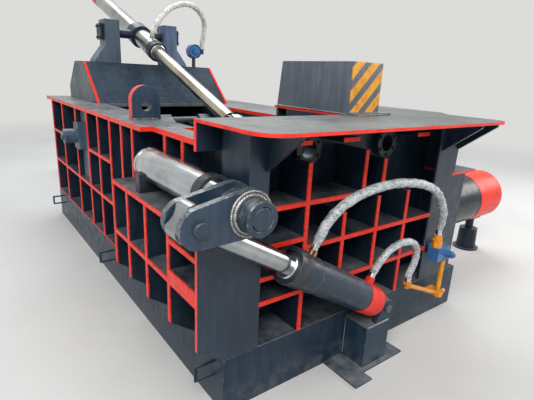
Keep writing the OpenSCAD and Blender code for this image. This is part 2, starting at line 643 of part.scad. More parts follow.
// Main ram along Y.
module main_barrel() color(dark_grey) from_corner() difference() {
    union() {
        rod_y(rear_y1, rear_y1 + main_l, main_x, main_z, main_r);
        rod_y(rear_y1, rear_y1 + 60, main_x, main_z, main_r + 55);
    }
    rod_y(rear_y1 - 1, rear_y1 + 120, main_x, main_z, main_rod_r + fit);
    rod_y(rear_y1 + 119, rear_y1 + main_l + 1, main_x, main_z, main_r - 40);
}
module main_cap() color(edge_red) from_corner()
    rod_y(rear_y1 + main_l, rear_y1 + main_l + main_cap_l, main_x, main_z, main_r + 4);
main_back = main_face + main_platen_t;
module main_rod() color("#b9bdbf") from_corner() {
    end = rear_y1 + main_l - 30;
    rod_y(main_back, end, main_x, main_z, main_rod_r);
    rod_y(end - 90, end, main_x, main_z, main_r - 40.5);
}
module main_platen() color(steel_grey) from_corner() {
    block(ch_x0 + platen_clear, ch_x1 - platen_clear, main_face, main_face + 40,
        floor_z + platen_clear, lid_z0 - platen_clear);
    for (x = [ch_x0 + platen_clear, cyl_x - 160, cyl_x + 136, ch_x1 - platen_clear - rib_t])
        block(x, x + rib_t, main_face + 39, main_back, floor_z + platen_clear,
            lid_z0 - platen_clear);
    block(main_x - 150, main_x + 150, main_back - 30, main_back, main_z - 150, main_z + 150);
}

// Side ram along X.
side_gland_x = right_x1;
module side_barrel() color(dark_grey) from_corner() difference() {
    union() {
        rod_x(side_gland_x, side_gland_x + side_l, side_y, side_z, side_r);
        rod_x(side_gland_x, side_gland_x + 60, side_y, side_z, side_r + 40);
    }
    rod_x(side_gland_x - 1, side_gland_x + 90, side_y, side_z, side_rod_r + fit);
    rod_x(side_gland_x + 89, side_gland_x + side_l + 1, side_y, side_z, side_r - 45);
}
module side_cap() color(edge_red) from_corner() {
    x0 = side_gland_x + side_l;
    rod_x(x0, x0 + side_cap_l, side_y, side_z, side_r + 3);
    rod_x(x0 + side_cap_l - 1, x0 + side_cap_l + 16, side_y, side_z, side_r - 50);
}
side_back = side_face + side_platen_t;
module side_rod() color("#b9bdbf") from_corner() {
    end = side_gland_x + side_l - 30;
    rod_x(side_back, end, side_y, side_z, side_rod_r);
    rod_x(end - 90, end, side_y, side_z, side_r - 45.5);
}
module side_platen() color(steel_grey) from_corner() {
    y0 = ram_y0 + platen_clear;
    y1 = ram_y1 - platen_clear;
    z1 = ram_roof_z - platen_clear;
    block(side_face, side_face + 50, y0, y1, floor_z + platen_clear, z1);
    for (y = [y0, side_y - 150, side_y + 126, y1 - rib_t])
        block(side_face + 49, side_back, y, y + rib_t, floor_z + platen_clear, z1);
    block(side_back - 30, side_back, side_y - 150, side_y + 150, side_z - 150, side_z + 150);
}

// Screw jacks that prop the two long barrels.
module jack(x, y, top) translate([x, y, 0]) {
    cylinder(r = 120, h = 14, $fn = 96);
    cylinder(r1 = 92, r2 = 84, h = top * 0.62, $fn = 96);
    cylinder(r = 38, h = top - 10, $fn = 48);
    translate([-75, -60, top - 16]) cube([150, 120, 16]);
}
module jack_stands() color(dark_grey) from_corner() {
    jack(side_gland_x + side_l + side_cap_l - 60, side_y, side_z - side_r - 3.3);
    jack(main_x, rear_y1 + main_l - 300, main_z - main_r - 0.3);
}

// Turn-out tube: bare steel, stepped down where it runs in its two bearings.
module turn_tube() color(bare_steel) from_corner() {
    near_end = near_bearing_y + bearing_l;
    rod_y(turn_y + eye_gap / 2 + crank_t, near_bearing_y, 0, shaft_z, tube_r - 4);
    rod_y(near_bearing_y - 1, near_end + 1, 0, shaft_z, journal_r);
    rod_y(near_end, tube_end_y - 19, 0, shaft_z, tube_r);
    rod_y(tube_end_y - 20, tube_end_y, 0, shaft_z, tube_r + 4);
}
module turn_bearings() color("#16191c") from_corner() {
    y0 = near_bearing_y + 1;
    y1 = near_bearing_y + bearing_l - 1;
    difference() {
        union() {
            rod_y(y0, y1, 0, shaft_z, bearing_or);
            block(-70, 70, y0, y1, ledge_z + ledge_t, shaft_z - 40);
        }
        rod_y(y0 - 1, y1 + 1, 0, shaft_z, journal_r + fit);
    }
    // open saddle under the tube's far end
    difference() {
        block(-105, 105, far_bearing_y + 1, far_bearing_y + bearing_l - 1, ledge_z + ledge_t,
            shaft_z - 30);
        rod_y(far_bearing_y, far_bearing_y + bearing_l, 0, shaft_z, tube_r + fit);
    }
}

// Bucket: back wall, floor and top strip, carried on the tube by ribs.
bucket_x = 190;
bucket_t = 25;
module turn_bucket() color(steel_grey) from_corner() {
    z0 = floor_z + gap;
    block(bucket_x, bucket_x + bucket_t, bay_y0, bay_y1, z0, deck_z + top_t);
    block(bucket_x, bucket_x + bucket_reach, bay_y0, bay_y1, z0, z0 + bucket_t);
    block(strip_inset, bucket_x + bucket_t, bay_y0, bay_y1, deck_z, deck_z + top_t);
    for (y = [572, 800]) difference() {
        plate_xz(y, y + rib_t) polygon([[strip_inset, deck_z + 1], [bucket_x + 1, deck_z + 1],
            [bucket_x + 1, shaft_z - 90], [60, shaft_z - 90], [60, shaft_z],
            [strip_inset, shaft_z]]);
        rod_y(y - 1, y + rib_t + 1, 0, shaft_z, tube_r + 0.3);
    }
}

// Crank: two plates on a hub, with the rod's eye between them.
module turn_crank() color(steel_grey) from_corner() difference() {
    union() {
        for (y = [turn_y - eye_gap / 2 - crank_t, turn_y + eye_gap / 2])
            translate([0, y + crank_t, shaft_z]) rotate([90, 0, 0]) linear_extrude(crank_t)
                rotate(crank_turn) link(crank_d, crank_hub_r, crank_end_r);
        rod_y(hub_front, turn_y + eye_gap / 2 + 1, 0, shaft_z, hub_r);
        rod_y(hub_front - 4, hub_front + 1, 0, shaft_z, hub_r - 22);
    }
    rod_y(turn_y - 200, turn_y + 200, crank_dx, shaft_z + crank_dz, crank_pin_r + fit);
}
module crank_pin() color(steel_grey) from_corner() {
    y0 = turn_y - eye_gap / 2 - crank_t - 14;
    rod_y(y0, turn_y + eye_gap / 2 + crank_t, crank_dx, shaft_z + crank_dz, crank_pin_r);
}

// Turn-out cylinder, drawn along its own axis from the crank pin.
turn_b0 = turn_gland_at + gland_l;
turn_b1 = turn_len - foot_r - 30 - 130;
module turn_gland() color("#2a2f35") from_corner() turn_axis() difference() {
    union() {
        along_x(turn_gland_at, turn_b0, barrel_r + 4);
        along_x(turn_b0 - 1, turn_b0 + 40, barrel_r - barrel_wall - 0.3);
    }
    along_x(turn_gland_at - 1, turn_b0 + 41, rod_r + fit);
}
module turn_barrel() color(dark_grey) from_corner() turn_axis() difference() {
    union() {
        along_x(turn_b0, turn_b1, barrel_r);
        translate([turn_b0 + 30, 0, barrel_r - 8]) cylinder(r = 24, h = 34, $fn = 48);
    }
    along_x(turn_b0 - 1, turn_b1 + 1, barrel_r - barrel_wall);
}
module turn_cap() color(edge_red) from_corner() turn_axis() difference() {
    union() {
        along_x(turn_b1, turn_b1 + 130, barrel_r + 2);
        translate([turn_b1 + 30, 0, barrel_r - 8]) cylinder(r = 24, h = 40, $fn = 48);
        rotate([90, 0, 0]) translate([0, 0, -30]) linear_extrude(60)
            translate([turn_len, 0]) rotate(180) link(foot_r + 34, foot_r, foot_r + 14);
    }
    translate([turn_len, 50, 0]) rotate([90, 0, 0])
        cylinder(r = foot_pin_r + fit, h = 100, $fn = 96);
}
module turn_rod() color("#b9bdbf") from_corner() turn_axis() {
    slotted_eye(turn_play_lat, turn_play_ax, turn_play_mid, eye_gap - 8, 14, crank_pin_r);
    along_x(turn_play_mid + turn_play_ax + 13, turn_b0 + 110, rod_r);
    along_x(turn_b0 + 50, turn_b0 + 110, barrel_r - barrel_wall - 0.5);
}

// Foot bracket: box on floor plates, with two ears for the cylinder's foot.
foot_box_x0 = 830;
foot_box_w = 200;
foot_box_top = 268;
module foot_bracket() color(steel_grey) from_corner() difference() {
    union() {
        block(foot_box_x0, foot_box_x0 + foot_box_w, -165, 0, 10, foot_box_top);
        block(foot_box_x0 - 150, foot_box_x0 - 20, -255, 0, 0, 12);
        block(foot_box_x0 - 21, foot_box_x0 + foot_box_w + 130, -190, 0, 0, 12);
        for (s = [-1, 1]) {
            y0 = turn_y + s * (30 + 1 + 17) - 17;
            plate_xz(y0, y0 + 34) {
                translate([foot_x, foot_z]) circle(r = 52, $fn = 96);
                polygon([[foot_x - 52, foot_z], [foot_x + 52, foot_z],
                    [foot_x + 30, foot_box_top - 5], [foot_x - 90, foot_box_top - 5]]);
            }
        }
    }
    rod_y(turn_y - 100, turn_y + 100, foot_x, foot_z, foot_pin_r + fit);
}
module foot_pin() color(bare_steel) from_corner()
    rod_y(turn_y - 78, turn_y + 78, foot_x, foot_z, foot_pin_r);

// Hose tubes: rings of eight to ten points swept along points chosen by hand.
function unit(v) = v / norm(v);
function lead(p, i) = i == 0 ? unit(p[1] - p[0]) : i == len(p) - 1 ? unit(p[i] - p[i - 1])
    : unit(p[i + 1] - p[i - 1]);
function side_of(t, prev) = unit(prev - (prev * t) * t);
function sides(p, i, s) = i >= len(p) ? [] : let (n = side_of(lead(p, i), s))
    concat([n], sides(p, i + 1, n));
module hose(p, r, n = 10) {
    s = sides(p, 0, [0.31, 0.23, 0.92]);
    rings = [for (i = [0:len(p) - 1], k = [0:n - 1]) let (t = lead(p, i), u = s[i],
        w = cross(t, u), a = 360 * k / n) p[i] + r * (cos(a) * u + sin(a) * w)];
    caps = [[for (k = [n - 1:-1:0]) k], [for (k = [0:n - 1]) (len(p) - 1) * n + k]];
    walls = [for (i = [0:len(p) - 2], k = [0:n - 1]) let (q = (k + 1) % n)
        [i * n + k, i * n + q, (i + 1) * n + q, (i + 1) * n + k]];
    polyhedron(points = rings, faces = concat(caps, walls));
}

// Valve block at the right front with its fittings, on the right post.
module front_valve() color("#2f5f96") from_corner() translate(valve_at) {
    block(-60, 75, -40, 36, -60, 36);
    block(-20, 20, 36, 64, -30, 30);
    rod_y(-86, -40, 37, -10, 24, 48);
    rod_y(-100, -86, 37, -10, 15, 6);
    translate([-30, 0, 35]) cylinder(r = 34, h = 46, $fn = 6);
    translate([-30, 0, 80]) cylinder(r = 27, h = 39, $fn = 48);
}

// Straight round bar from a to b.
module bar(a, b, r) {
    d = b - a;
    translate(a) rotate([0, acos(d[2] / norm(d)), atan2(d[1], d[0])])
        cylinder(r = r, h = norm(d), $fn = 48);
}

// Rigid pipes under the valve, with the clamp that holds them off the skid.
module yellow_pipes() color("#e0a21a") from_corner() {
    translate(pipe_top - [0, 0, 48]) cylinder(r = 17, h = 48, $fn = 48);
    bar(pipe_top - [0, 0, 30], elbow_at, 14);
    translate(elbow_at) cylinder(r = 16, h = valve_at[2] - 60.3 - elbow_at[2], $fn = 48);
    rod_y(elbow_at[1] - 30, elbow_at[1] + 30, elbow_at[0], elbow_at[2], 22, 48);
    block(elbow_at[0] - 28, elbow_at[0] + 50, elbow_at[1] - 20, 0, elbow_at[2] - 16,
        elbow_at[2] + 16);
    rod_x(elbow_at[0] + 49, elbow_at[0] + 82, elbow_at[1], elbow_at[2], 15, 6);
}

module hose_high() color("#8f9497") from_corner() hose(hose_high_route, 26);
module hose_low() color("#8f9497") from_corner() hose(hose_low_route, 22);
module lid_hose() color("#c9c9c2") from_corner() hose(lid_hose_route, 29);

// Round valve on a post on the tower, reached by the lid cylinder's hose.
module lid_valve() color("#1f5fae") from_corner() translate(lid_valve_at) {
    rod_y(-42, 42, 0, 0, 76);
    rod_y(-58, -41, 0, 0, 34, 6);
    // port elbow at its right, and the post that carries it on the tower
    rod_x(40, 106, 0, 0, 16, 48);
    translate([106, 0, -25]) cylinder(r = 22, h = 80, $fn = 48);
    translate([0, 0, tower_top_z - lid_valve_at[2]])
        cylinder(r = 20, h = lid_valve_at[2] - tower_top_z - 40, $fn = 48);
}

skid_frame();
chamber_floor();
front_posts();
front_ribs();
front_wall();
left_wall();
right_wall();
rear_wall();
left_upper_ribs();
left_lower_frame();
right_ribs();
left_top_plate();
right_top_plate();
rear_deck();
cross_beam();
table();
table_gussets();
marker_box();
lifting_lug();
side_boss();
lifting_loops();
tower();
upright_left();
upright_right();
trunnion_keepers();
lid();
lid_clevis_pin();
lid_hinge_pin();
lid_barrel();
lid_gland();
lid_cap();
lid_trunnion();
lid_rod();
main_barrel();
main_cap();
main_rod();
main_platen();
side_barrel();
side_cap();
side_rod();
side_platen();
jack_stands();
turn_tube();
turn_bucket();
turn_crank();
crank_pin();
turn_bearings();
turn_barrel();
turn_gland();
turn_cap();
turn_rod();
foot_bracket();
foot_pin();
guide_flanges();
front_valve();
hose_high();
hose_low();
lid_hose();
yellow_pipes();
lid_valve();
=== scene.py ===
"""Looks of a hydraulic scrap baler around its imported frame, in metres.

+Z is up, +Y runs from the front table to the rear, and the origin is the middle of the skid's underside.
Places are written from the skid's front left corner, as in the part's source, and at() moves them.
"""
import math
import random

import bmesh
import bpy
from mathutils import Matrix, Vector, noise


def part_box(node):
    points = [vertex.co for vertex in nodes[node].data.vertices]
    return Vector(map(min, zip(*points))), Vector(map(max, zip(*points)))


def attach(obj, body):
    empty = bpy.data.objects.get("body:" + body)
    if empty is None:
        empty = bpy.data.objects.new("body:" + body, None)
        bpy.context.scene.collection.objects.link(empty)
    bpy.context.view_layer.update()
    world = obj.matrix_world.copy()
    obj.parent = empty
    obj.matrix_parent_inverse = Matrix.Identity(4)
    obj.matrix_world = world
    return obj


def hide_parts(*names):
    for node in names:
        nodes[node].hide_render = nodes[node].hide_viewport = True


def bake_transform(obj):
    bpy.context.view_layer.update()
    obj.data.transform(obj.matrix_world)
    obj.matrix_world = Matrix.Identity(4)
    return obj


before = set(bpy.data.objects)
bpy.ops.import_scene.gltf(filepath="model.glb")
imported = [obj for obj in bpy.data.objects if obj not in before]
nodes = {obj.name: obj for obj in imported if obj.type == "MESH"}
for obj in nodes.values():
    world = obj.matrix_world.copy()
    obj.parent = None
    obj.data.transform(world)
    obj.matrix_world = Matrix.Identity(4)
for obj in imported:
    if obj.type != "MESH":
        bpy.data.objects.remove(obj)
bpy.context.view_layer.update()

# Frame places that the looks depend on.
skid_low, skid_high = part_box("skid_frame")
CORNER = Vector((skid_low.x, skid_low.y, 0))
SHAFT_Z = 1.086
CRANK_FACE_Y = -0.179
CRANK_PIN = Vector((-0.219, 0, 1.061))
TURN_PLANE_Y = -0.096
TURN_FOOT = Vector((1.0, TURN_PLANE_Y, 0.343))
LID_PIN = Vector((0.85, 1.3, 1.24))
TRUNNION = Vector((0.85, 3.21, 1.948))
BARREL_R = 0.088
HUB_FRONT_Y = -0.250
TURN_GLAND_RUN = 0.568                        # from the crank's pin to the gland's face
LID_GLAND_RUN = 0.520                         # from the trunnion to the gland's face
SKIRT_TOP_Z = 1.25                            # where the table's gussets turn red
LIP_Y, LIP_Z = 0.04, 1.286                    # upper rib that stands back from the grid
LEDGE_X, LEDGE_LOW, LEDGE_HIGH = 1.75, 1.019, 1.037
LOWER_FRAME_X = -0.14
BUCKET_RIB_X = 0.075
LUG_BORE = (0.178, 1.372, 0.045)              # x, z and radius with a margin
LID_VALVE_Z = 1.827
DISC_R = 0.078                                # radius of the lid valve's round body, with a margin
VALVE_CAP_Z = 0.566
VALVE_NECK = Vector((1.59, -0.064, 0.611))
HOSE_HIGH = [
    (431.9, -96, 810.4), (447.6, -96, 837.1), (462, -103, 880), (480, -114, 930),
    (518, -128, 985), (585, -134, 1030), (680, -138, 1064), (830, -140, 1086), (995, -140, 1086),
    (1150, -138, 1066), (1290, -132, 1026), (1400, -122, 970), (1480, -110, 900),
    (1540, -98, 820), (1576, -80, 750), (1590, -64, 695), (1590, -64, 649.3),
]
HOSE_LOW = [
    (899, -96, 542.1), (914.2, -96, 567.9), (934, -104, 610), (966, -112, 655),
    (1015, -118, 692), (1085, -122, 712), (1160, -122, 710), (1225, -120, 688),
    (1268, -118, 645), (1284, -116, 595), (1280, -114, 548), (1262, -110, 505),
    (1250, -106, 468), (1250, -106, 428),
]
LID_HOSE = [
    (850, 2856.2, 1929.9), (850, 2844.4, 1961.8), (872, 2850, 2005), (915, 2868, 2060),
    (970, 2895, 2120), (1040, 2925, 2180), (1110, 2953, 2225), (1200, 2986, 2266),
    (1302, 3018, 2290), (1401, 3050, 2284), (1491, 3083, 2247), (1556, 3115, 2187),
    (1592, 3148, 2109), (1598, 3172, 2020), (1578, 3180, 1930), (1578, 3180, 1882.3),
]

# Camera of the photograph: a standing person's, at the left front corner.
CAMERA_PLACE = Vector((-1.881, -3.203, 1.6))
CAMERA_HEADING = math.radians(37.37)
CAMERA_PITCH = math.radians(-16.56)
CAMERA_ROLL = math.radians(2.75)
FOCAL_PIXELS = 418
PHOTO_WIDTH = 534
SENSOR_MM = 36


def srgb(text):
    """Linear colour of a six-digit hex name."""
    parts = [int(text[i:i + 2], 16) / 255 for i in (0, 2, 4)]
    return tuple(p / 12.92 if p <= 0.04045 else ((p + 0.055) / 1.055) ** 2.4 for p in parts) + (1,)


def at(x, y, z):
    """Row place of a point given from the skid's front left corner."""
    return CORNER + Vector((x, y, z))


PAINT = srgb("182838")
PAINT_LIGHT = srgb("27394a")
PAINT_DARK = srgb("131f2b")
PAINT_DARK_LIGHT = srgb("1f2e3c")
RED = srgb("f0331c")
RED_DEEP = srgb("d12a18")
DUST = srgb("7c8082")
WORN = srgb("7d8890")
PALE = srgb("555c62")
PALE_LIGHT = srgb("7b7f82")
BARE = srgb("4a5157")
BARE_LIGHT = srgb("8d9193")
BACKGROUND = srgb("dcdcda")


# Camera

def make_camera():
    """The camera that was fitted to the photograph."""
    data = bpy.data.cameras.new("photo_camera")
    data.sensor_width = SENSOR_MM
    data.lens = FOCAL_PIXELS / PHOTO_WIDTH * SENSOR_MM
    data.clip_end = 100
    camera = bpy.data.objects.new("photo_camera", data)
    turn = (
        Matrix.Rotation(-CAMERA_HEADING, 4, "Z")
        @ Matrix.Rotation(math.pi / 2 + CAMERA_PITCH, 4, "X")
        @ Matrix.Rotation(CAMERA_ROLL, 4, "Z")
    )
    camera.matrix_world = Matrix.Translation(CAMERA_PLACE) @ turn
    bpy.context.scene.collection.objects.link(camera)
    bpy.context.scene.camera = camera


# Materials

class Shader:
    """One material's node tree, with short names for the nodes it needs."""

    def __init__(self, name):
        self.material = bpy.data.materials.new(name)
        self.material.use_nodes = True
        self.tree = self.material.node_tree
        self.bsdf = self.tree.nodes["Principled BSDF"]
        self.coord = self.node("ShaderNodeTexCoord")
        self.place = self.xyz(self.coord.outputs["Object"])
        self.facing = self.xyz(self.coord.outputs["Normal"])

    def node(self, kind, **settings):
        made = self.tree.nodes.new(kind)
        for key, value in settings.items():
            setattr(made, key, value)
        return made

    def feed(self, value, socket):
        if isinstance(value, bpy.types.NodeSocket):
            self.tree.links.new(value, socket)
        else:
            socket.default_value = value

    def xyz(self, vector):
        split = self.node("ShaderNodeSeparateXYZ")
        self.feed(vector, split.inputs[0])
        return {"x": split.outputs[0], "y": split.outputs[1], "z": split.outputs[2]}

    def maths(self, operation, a, b=0.0, c=0.0):
        made = self.node("ShaderNodeMath", operation=operation)
        for value, socket in zip((a, b, c), made.inputs):
            self.feed(value, socket)
        return made.outputs[0]

    def noise(self, scale, detail=3.0, stretch=(1, 1, 1), rough=0.55, warp=0.0):
        mapping = self.node("ShaderNodeMapping")
        mapping.inputs["Scale"].default_value = stretch
        self.feed(self.coord.outputs["Object"], mapping.inputs["Vector"])
        made = self.node("ShaderNodeTexNoise")
        made.inputs["Scale"].default_value = scale
        made.inputs["Detail"].default_value = detail
        made.inputs["Roughness"].default_value = rough
        made.inputs["Distortion"].default_value = warp
        self.feed(mapping.outputs[0], made.inputs["Vector"])
        return made.outputs["Fac"]

    def ramp(self, value, low, high, to_low=0.0, to_high=1.0):
        made = self.node("ShaderNodeMapRange", interpolation_type="SMOOTHSTEP")
        for number, socket in zip((value, low, high, to_low, to_high), made.inputs):
            self.feed(number, socket)
        return made.outputs[0]

    def mix(self, factor, a, b):
        made = self.node("ShaderNodeMix", data_type="RGBA")
        self.feed(factor, made.inputs[0])
        self.feed(a, made.inputs[6])
        self.feed(b, made.inputs[7])
        return made.outputs[2]

    def edges(self, radius, low=0.015, high=0.12):
        """1 near sharp edges, from how far a rounded normal leans away from the true one."""
        bevel = self.node("ShaderNodeBevel", samples=4)
        bevel.inputs["Radius"].default_value = radius
        true = self.node("ShaderNodeNewGeometry")
        dot = self.node("ShaderNodeVectorMath", operation="DOT_PRODUCT")
        self.feed(bevel.outputs[0], dot.inputs[0])
        self.feed(true.outputs["Normal"], dot.inputs[1])
        lean = self.maths("SUBTRACT", 1.0, dot.outputs["Value"])
        return self.ramp(lean, low, high), bevel.outputs[0]

    def bump(self, height, strength, distance, normal=None):
        made = self.node("ShaderNodeBump")
        made.inputs["Strength"].default_value = strength
        made.inputs["Distance"].default_value = distance
        self.feed(height, made.inputs["Height"])
        if normal is not None:
            self.feed(normal, made.inputs["Normal"])
        self.feed(made.outputs[0], self.bsdf.inputs["Normal"])

    def where(self, tests, wobble):
        """1 where every test holds. A test is (key, sign, limit).

        The keys x, y, z are places, nx, ny, nz facings, and ax, ay, az facings without their sign.
        """
        result = 1.0
        for key, sign, limit in tests:
            if key.startswith("a"):
                value = self.maths("ABSOLUTE", self.facing[key[-1]])
            elif key.startswith("n"):
                value = self.facing[key[-1]]
            else:
                value = self.maths("ADD", self.place[key], wobble)
            operation = "GREATER_THAN" if sign == ">" else "LESS_THAN"
            result = self.maths("MULTIPLY", result, self.maths(operation, value, limit))
        return result


def painted(name, base=PAINT, light=PAINT_LIGHT, red=(), bare=(), dust=0.6, rough=0.34, wear=0.7,
            stripes=None, floor_dirt=False, wobble=0.010, bore=None, pale=(), gloss=0.5):
    """Brushed-on machine paint with dust and worn edges, and red, bare or pale where the tests say.

    bore is the x, z and radius of a hole that stays out of the red, and gloss the shader's specular level.
    """
    s = Shader(name)
    big = s.noise(1.7, 4)
    streaks = s.noise(3.0, 5, stretch=(9, 9, 1.2))
    mid = s.noise(14, 4)
    fine = s.noise(220, 2)
    shade = s.ramp(s.maths("ADD", s.maths("MULTIPLY", big, 0.55), s.maths("MULTIPLY", streaks, 0.45)), 0.38, 0.66)
    colour = s.mix(shade, base, light)
    for tests in pale:
        colour = s.mix(s.where(tests, 0.0), colour, s.mix(shade, PALE, PALE_LIGHT))
    up = s.ramp(s.facing["z"], 0.6, 0.95)
    settled = s.maths("MULTIPLY", up, s.ramp(s.maths("ADD", big, s.maths("MULTIPLY", mid, 0.5)), 0.5, 1.0))
    colour = s.mix(s.maths("MULTIPLY", settled, dust), colour, DUST)
    specks = s.ramp(s.noise(75, 3), 0.66, 0.74)
    colour = s.mix(s.maths("MULTIPLY", specks, 0.22), colour, DUST)
    if floor_dirt:
        low = s.maths("MULTIPLY", s.ramp(s.place["z"], 0.20, 0.0), s.ramp(mid, 0.35, 0.7))
        colour = s.mix(s.maths("MULTIPLY", low, 0.28), colour, DUST)
    edge, rounded = s.edges(0.005)
    scuffed = s.maths("MULTIPLY", edge, s.ramp(s.noise(30, 4), 0.48, 0.62))
    colour = s.mix(s.maths("MULTIPLY", scuffed, wear), colour, WORN)
    roughness = s.ramp(mid, 0.3, 0.7, rough - 0.07, rough + 0.12)
    if stripes:
        colour = add_stripes(s, colour, *stripes)
    if bare:
        mask = 0.0
        for tests in bare:
            mask = s.maths("MAXIMUM", mask, s.where(tests, 0.0))
        ground = s.ramp(s.noise(60, 5), 0.3, 0.62)
        steel = s.mix(ground, BARE, BARE_LIGHT)
        patch = s.maths("MULTIPLY", mask, s.ramp(s.noise(11, 3), 0.38, 0.54))
        colour = s.mix(patch, colour, steel)
        s.feed(s.maths("MULTIPLY", patch, 0.75), s.bsdf.inputs["Metallic"])
    if red:
        offset = s.maths("MULTIPLY", s.maths("SUBTRACT", s.noise(26, 4), 0.5), wobble)
        mask = 0.0
        for tests in red:
            mask = s.maths("MAXIMUM", mask, s.where(tests, offset))
        if bore:
            x, z, radius = bore
            run = s.maths("SUBTRACT", s.place["x"], x)
            rise = s.maths("SUBTRACT", s.place["z"], z)
            away = s.maths("ADD", s.maths("MULTIPLY", run, run), s.maths("MULTIPLY", rise, rise))
            mask = s.maths("MULTIPLY", mask, s.maths("GREATER_THAN", away, radius * radius))
        coat = s.mix(s.ramp(s.noise(22, 4, stretch=(1, 1, 3)), 0.4, 0.68), RED, RED_DEEP)
        thin = s.ramp(s.noise(48, 4), 0.22, 0.30)
        colour = s.mix(s.maths("MULTIPLY", mask, thin), colour, coat)
    s.feed(colour, s.bsdf.inputs["Base Color"])
    s.feed(roughness, s.bsdf.inputs["Roughness"])
    s.bsdf.inputs["Specular IOR Level"].default_value = gloss
    grain = s.maths("ADD", s.maths("MULTIPLY", fine, 0.35), s.maths("MULTIPLY", streaks, 0.65))
    s.bump(grain, 0.22, 0.004, rounded)
    return s.material


def add_stripes(s, colour, x0, z0, face_y):
    """Yellow bands at 45 degrees on the face at face_y, whose lower left corner is (x0, z0)."""
    period = 0.130
    first = 0.065
    share = 0.567
    rim = 0.0145
    across = s.maths("SUBTRACT", s.maths("SUBTRACT", s.place["z"], z0), s.maths("SUBTRACT", s.place["x"], x0))
    ragged = s.maths("MULTIPLY", s.maths("SUBTRACT", s.noise(35, 3), 0.5), 0.008)
    run = s.maths("ADD", s.maths("SUBTRACT", across, first - 4 * period), ragged)
    step = s.maths("FRACT", s.maths("DIVIDE", run, period))
    band = s.maths("LESS_THAN", step, share)
    face = s.maths("LESS_THAN", s.place["y"], face_y + 0.004)
    above = s.maths("GREATER_THAN", s.place["z"], z0 + rim)
    yellow = s.mix(s.ramp(s.noise(18, 4), 0.4, 0.7), srgb("f2a81d"), srgb("d98b16"))
    scratched = s.ramp(s.noise(60, 5), 0.30, 0.36)
    mask = s.maths("MULTIPLY", s.maths("MULTIPLY", band, scratched), s.maths("MULTIPLY", face, above))
    return s.mix(mask, colour, yellow)


def metal(name, low, high, rough, stretch=(1, 1, 1), scale=20, bump=0.1, metallic=1.0, stain=None, red=()):
    """Bare or plated steel with stretched grain, patchy roughness and an optional stain."""
    s = Shader(name)
    grain = s.noise(scale, 5, stretch=stretch)
    patch = s.noise(3.2, 4)
    colour = s.mix(s.ramp(s.maths("ADD", s.maths("MULTIPLY", grain, 0.5), s.maths("MULTIPLY", patch, 0.5)), 0.35, 0.68),
                   low, high)
    if stain:
        colour = s.mix(s.maths("MULTIPLY", s.ramp(s.noise(7, 5, warp=0.6), 0.52, 0.68), 0.55), colour, stain)
    edge, rounded = s.edges(0.003)
    colour = s.mix(s.maths("MULTIPLY", edge, 0.35), colour, high)
    s.bsdf.inputs["Metallic"].default_value = metallic
    if red:
        offset = s.maths("MULTIPLY", s.maths("SUBTRACT", s.noise(20, 4), 0.5), 0.022)
        mask = 0.0
        for tests in red:
            mask = s.maths("MAXIMUM", mask, s.where(tests, offset))
        colour = s.mix(mask, colour, s.mix(s.ramp(s.noise(22, 4), 0.4, 0.68), RED, RED_DEEP))
        s.feed(s.maths("MULTIPLY", s.maths("SUBTRACT", 1.0, mask), metallic), s.bsdf.inputs["Metallic"])
    s.feed(colour, s.bsdf.inputs["Base Color"])
    s.feed(s.ramp(s.maths("ADD", s.maths("MULTIPLY", patch, 0.6), s.maths("MULTIPLY", grain, 0.4)), 0.3, 0.7,
                  rough * 0.75, rough * 1.4), s.bsdf.inputs["Roughness"])
    s.bump(grain, bump, 0.002, rounded)
    return s.material


def chrome(name, low, high):
    """Hard chrome with faint lengthwise scratches and an oil film."""
    s = Shader(name)
    film = s.noise(4.0, 4)
    scratches = s.noise(90, 4, stretch=(0.2, 0.2, 0.2))
    s.feed(s.mix(s.ramp(film, 0.35, 0.65), low, high), s.bsdf.inputs["Base Color"])
    s.bsdf.inputs["Metallic"].default_value = 1.0
    s.feed(s.ramp(film, 0.3, 0.7, 0.14, 0.27), s.bsdf.inputs["Roughness"])
    s.bump(scratches, 0.06, 0.001)
    return s.material


def crumpled_film(name, shaded_hollow, pale):
    """Clear film pulled over a hose, with a light gloss: its colour follows the folds' relief, a painted highlight on
    the pale crests and painted shade in the greyer troughs, where the dark hose shows through.
    """
    s = Shader(name)
    cloud = s.noise(20, 5, warp=1.0)
    folds = s.noise(58, 5, stretch=(1, 1, 1.6), warp=1.6)
    fine = s.noise(140, 4, warp=0.8)
    # Painted highlight and shade: the same folds that raise the bump make the crests pale and the troughs grey.
    mask = s.ramp(s.maths("ADD", s.maths("MULTIPLY", folds, 0.6), s.maths("MULTIPLY", cloud, 0.4)), 0.36, 0.62)
    s.feed(s.mix(mask, shaded_hollow, pale), s.bsdf.inputs["Base Color"])
    s.feed(s.ramp(cloud, 0.3, 0.7, 0.28, 0.5), s.bsdf.inputs["Roughness"])
    s.bsdf.inputs["Coat Weight"].default_value = 0.35
    s.bsdf.inputs["Coat Roughness"].default_value = 0.2
    s.bump(s.maths("ADD", s.maths("MULTIPLY", folds, 0.8), s.maths("MULTIPLY", fine, 0.4)), 0.55, 0.008)
    return s.material


def enamel(name, base, deep, rough=0.3, other=None, where_other=()):
    """Glossy enamel with small colour drift and scuffs, and another colour where the tests say."""
    s = Shader(name)
    patch = s.noise(16, 4)
    edge, rounded = s.edges(0.003)
    colour = s.mix(s.ramp(patch, 0.35, 0.7), base, deep)
    for tests in where_other:
        colour = s.mix(s.where(tests, 0.0), colour, other)
    colour = s.mix(s.maths("MULTIPLY", edge, s.ramp(s.noise(50, 4), 0.4, 0.6, 0.0, 0.6)), colour, WORN)
    s.feed(colour, s.bsdf.inputs["Base Color"])
    s.feed(s.ramp(patch, 0.3, 0.7, rough - 0.06, rough + 0.15), s.bsdf.inputs["Roughness"])
    s.bump(s.noise(140, 3), 0.12, 0.002, rounded)
    return s.material


